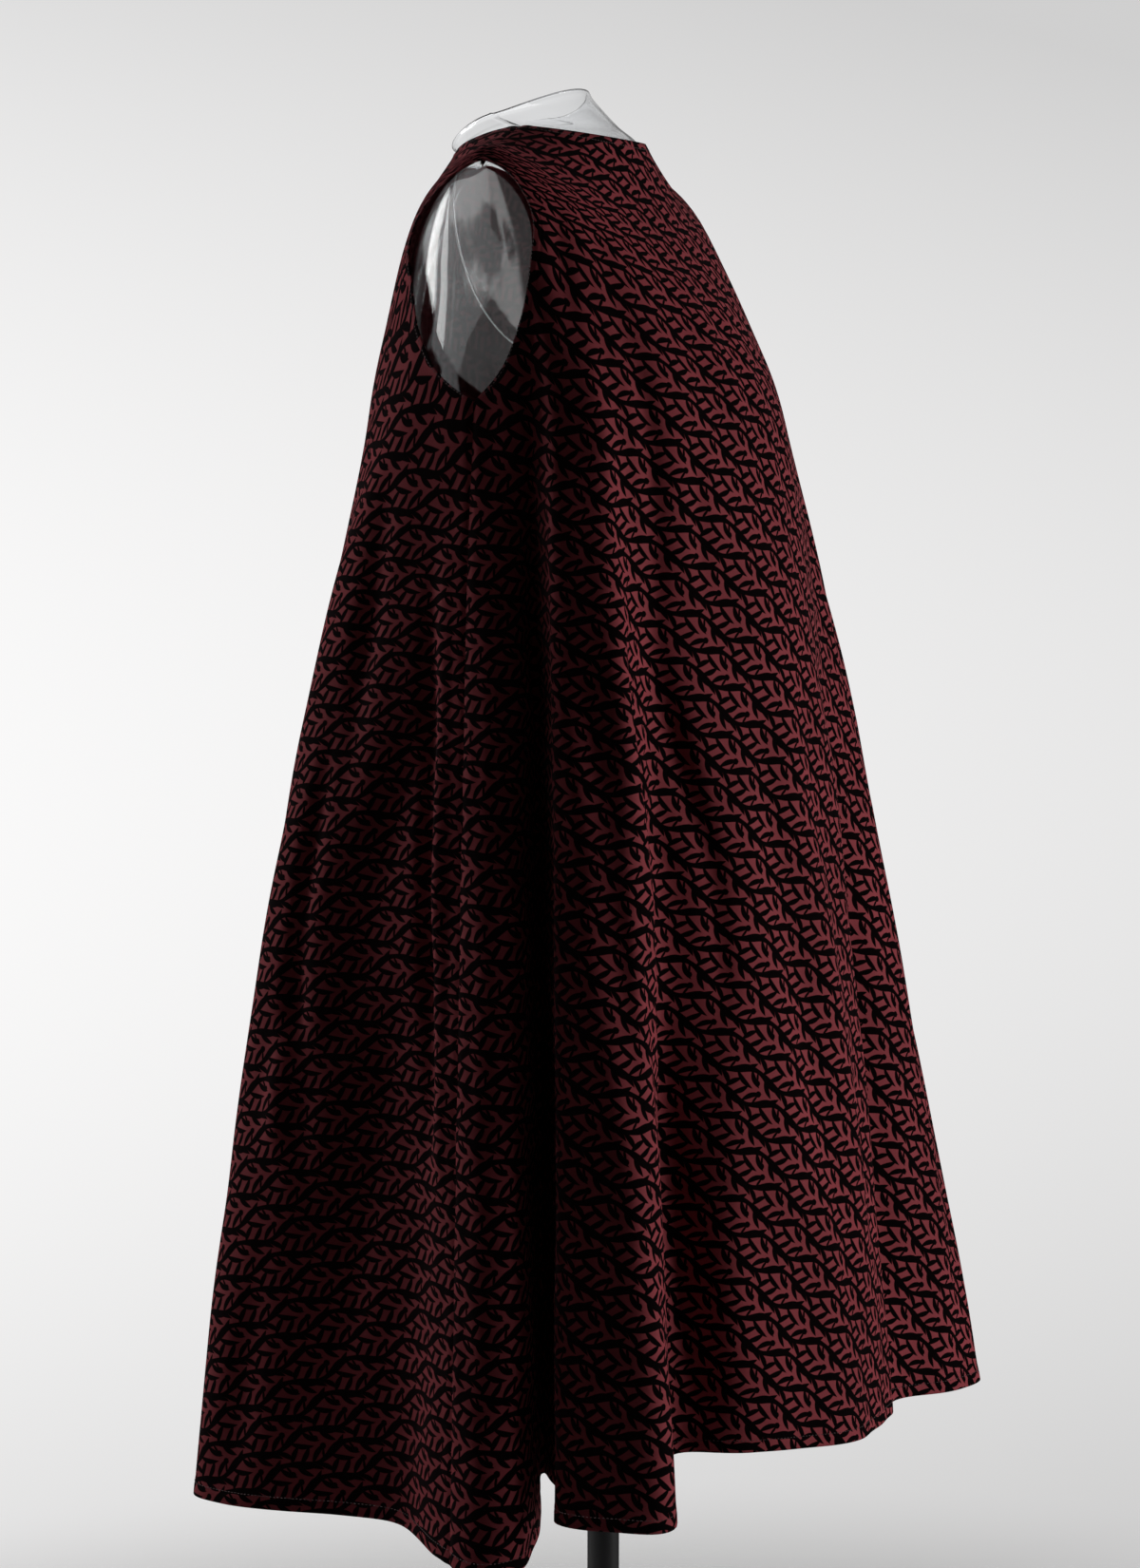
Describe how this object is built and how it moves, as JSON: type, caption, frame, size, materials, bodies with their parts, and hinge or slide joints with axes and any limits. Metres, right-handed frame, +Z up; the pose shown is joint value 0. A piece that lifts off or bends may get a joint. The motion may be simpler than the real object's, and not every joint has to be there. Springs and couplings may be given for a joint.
{
  "type": "sleeveless dress on a clear dress form with a pole stand",
  "caption": "Sleeveless trapeze dress with deep hanging flutes, worn by a clear armless dress form on a black pole with a round base.",
  "frame": {"origin": "on the pole's axis, on the floor, in the underside of the round base", "axes": "+Z up along the pole, the dress's front faces -Y, the wearer's left is +X"},
  "size_m": [0.6688, 0.5336, 1.482],
  "materials": {
    "flocked_cloth": "matt burgundy cloth with a black flocked twig and leaf pattern",
    "clear_plastic": "clear and glossy",
    "black_metal": "satin black"
  },
  "bodies": {
    "root": {"dress_front_panel": "flocked_cloth", "dress_back_panel": "flocked_cloth", "form_torso": "clear_plastic", "form_plate": "clear_plastic", "pole_socket": "black_metal", "pole": "black_metal", "foot_socket": "black_metal", "round_base": "black_metal"}
  },
  "joints": []
}
